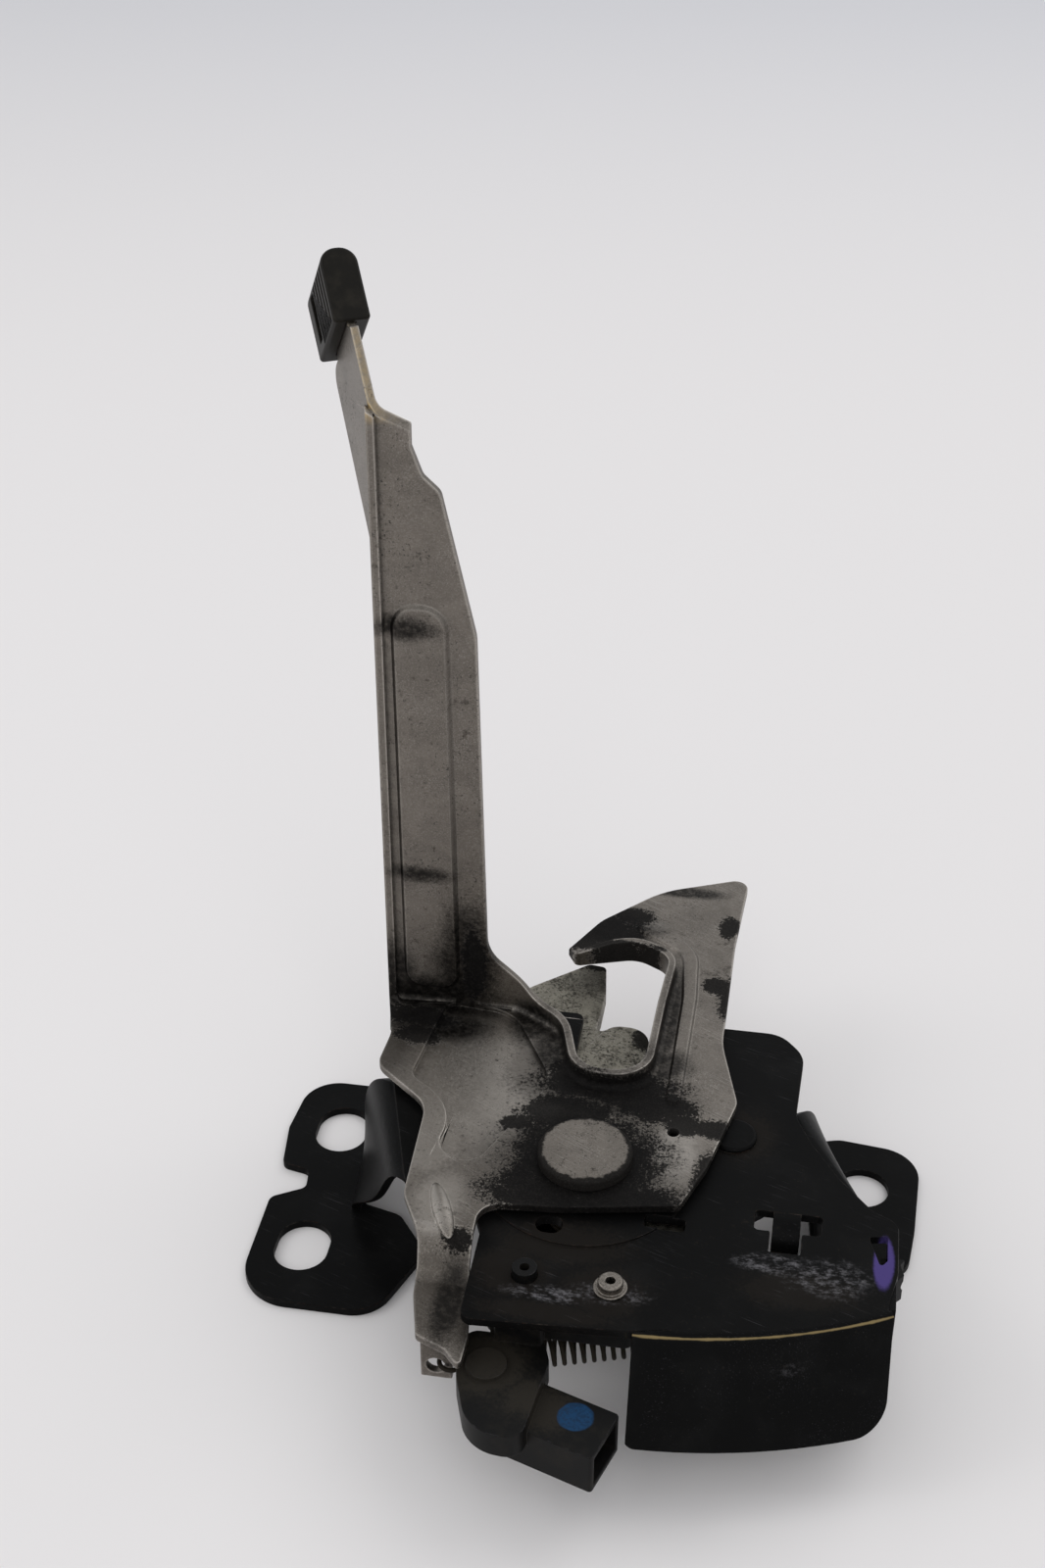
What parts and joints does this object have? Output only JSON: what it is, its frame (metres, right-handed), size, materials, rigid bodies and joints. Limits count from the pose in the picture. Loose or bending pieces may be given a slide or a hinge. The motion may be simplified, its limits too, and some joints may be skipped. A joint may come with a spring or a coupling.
{
  "type": "hood latch actuator",
  "caption": "Folded black base plate on bolt slots with a fork catch, pawl, spring, plug-in switch and a worn hooked safety lever with a plastic grip.",
  "frame": {"origin": "middle of the two left bolt slots on the mounting face", "axes": "+X to the right bolt hole, +Y to the striker side, +Z out of the mounting face"},
  "size_m": [0.1511, 0.1725, 0.2116],
  "materials": {
    "black_paint": "satin black dip paint, scuffed, greasy",
    "worn_steel": "bare worn sheet steel with old grease",
    "rivet_steel": "worn zinc",
    "zinc_steel": "dull yellowed zinc",
    "spring_steel": "drawn wire",
    "grip_plastic": "worn brown-black moulded plastic",
    "switch_plastic": "black moulded plastic, brown dirt",
    "washer_plastic": "greasy black washer",
    "terminal_metal": "tinned brass"
  },
  "bodies": {
    "base": {"base_plate": "black_paint", "back_plate": "black_paint", "main_rivet": "rivet_steel", "catch_rivet": "rivet_steel", "post_rivet": "black_paint", "lever_washer": "washer_plastic", "pawl_washer": "washer_plastic", "catch_washer": "washer_plastic", "pawl_sleeve": "zinc_steel", "catch_sleeve": "zinc_steel", "post_tube": "black_paint", "lever_spring": "spring_steel", "pawl_spring": "spring_steel", "catch_spring": "spring_steel", "switch_housing": "switch_plastic", "switch_rivet": "rivet_steel", "switch_terminal_1": "terminal_metal", "switch_terminal_2": "terminal_metal", "cable_grommet": "switch_plastic"},
    "lever": {"secondary_lever": "worn_steel", "lever_grip": "grip_plastic"},
    "catch": {"ratchet": "zinc_steel"},
    "pawl": {"pawl": "zinc_steel"},
    "plunger": {"switch_plunger": "switch_plastic"}
  },
  "joints": [
    {"name": "lever_pivot", "type": "hinge", "parent": "base", "child": "lever", "pos_m": [0.0645, -0.0205, 0.0384], "axis": [0, 0, 1], "range_deg": [-28, 0], "stiffness_Nm_per_rad": 0.05, "springref_deg": 20.05, "deforming": ["lever_spring"]},
    {"name": "catch_pivot", "type": "hinge", "parent": "base", "child": "catch", "pos_m": [0.04, 0.01, 0.0305], "axis": [0, 0, 1], "range_deg": [-48, 0], "stiffness_Nm_per_rad": 0.05, "springref_deg": 22.92},
    {"name": "pawl_pivot", "type": "hinge", "parent": "base", "child": "pawl", "pos_m": [0.0645, -0.0205, 0.0305], "axis": [0, 0, 1], "range_deg": [0, 14], "stiffness_Nm_per_rad": 0.05, "springref_deg": -22.92},
    {"name": "plunger_slide", "type": "slide", "parent": "base", "child": "plunger", "axis": [-1, 0, 0], "range_m": [0, 0.0018]}
  ],
  "couplings": [
    {"joint": "plunger_slide", "follows": "lever_pivot", "m_per_rad": -0.00365}
  ]
}
